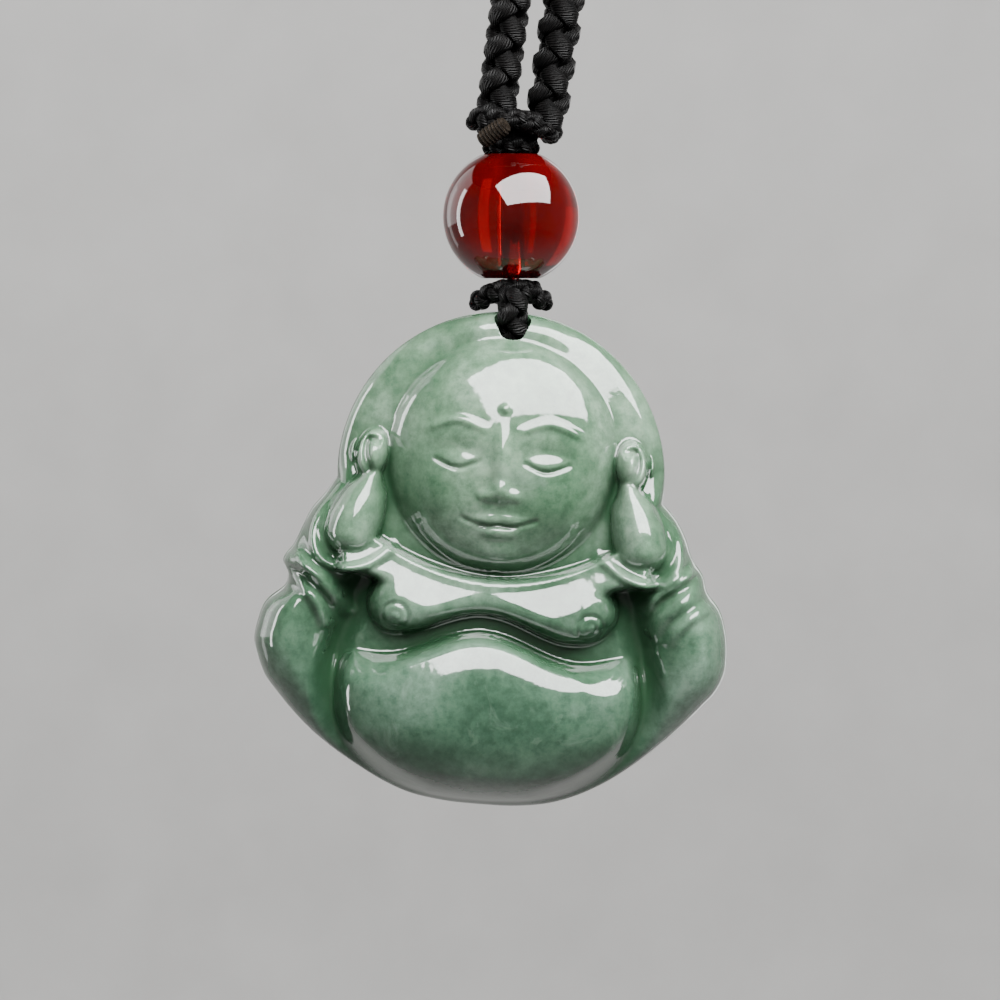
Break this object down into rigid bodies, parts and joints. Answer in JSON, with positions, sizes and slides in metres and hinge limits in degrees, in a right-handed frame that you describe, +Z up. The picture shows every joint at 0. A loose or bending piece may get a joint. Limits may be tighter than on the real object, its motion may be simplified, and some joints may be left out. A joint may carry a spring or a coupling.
{
  "type": "jade buddha pendant necklace",
  "caption": "Carved jade figure pendant with a halo plate, hung by a small cord loop and a drilled bead from one long braided cord.",
  "frame": {"origin": "the inside top of the long cord, where it hangs on a peg or lies on a neck", "axes": "+Z up along the hanging necklace, +X to the right as seen from the front, and the carved face looks along -Y"},
  "size_m": [0.0554, 0.0103, 0.3266],
  "materials": {
    "jade": "polished translucent grey-green jade",
    "red_stone": "polished translucent deep red",
    "black_cord": "braided nylon, slight sheen"
  },
  "bodies": {
    "root": {"jade_pendant": "jade", "hanging_loop": "black_cord", "red_bead": "red_stone", "bead_cord": "black_cord", "upper_knot": "black_cord", "necklace_cord": "black_cord"}
  },
  "joints": []
}
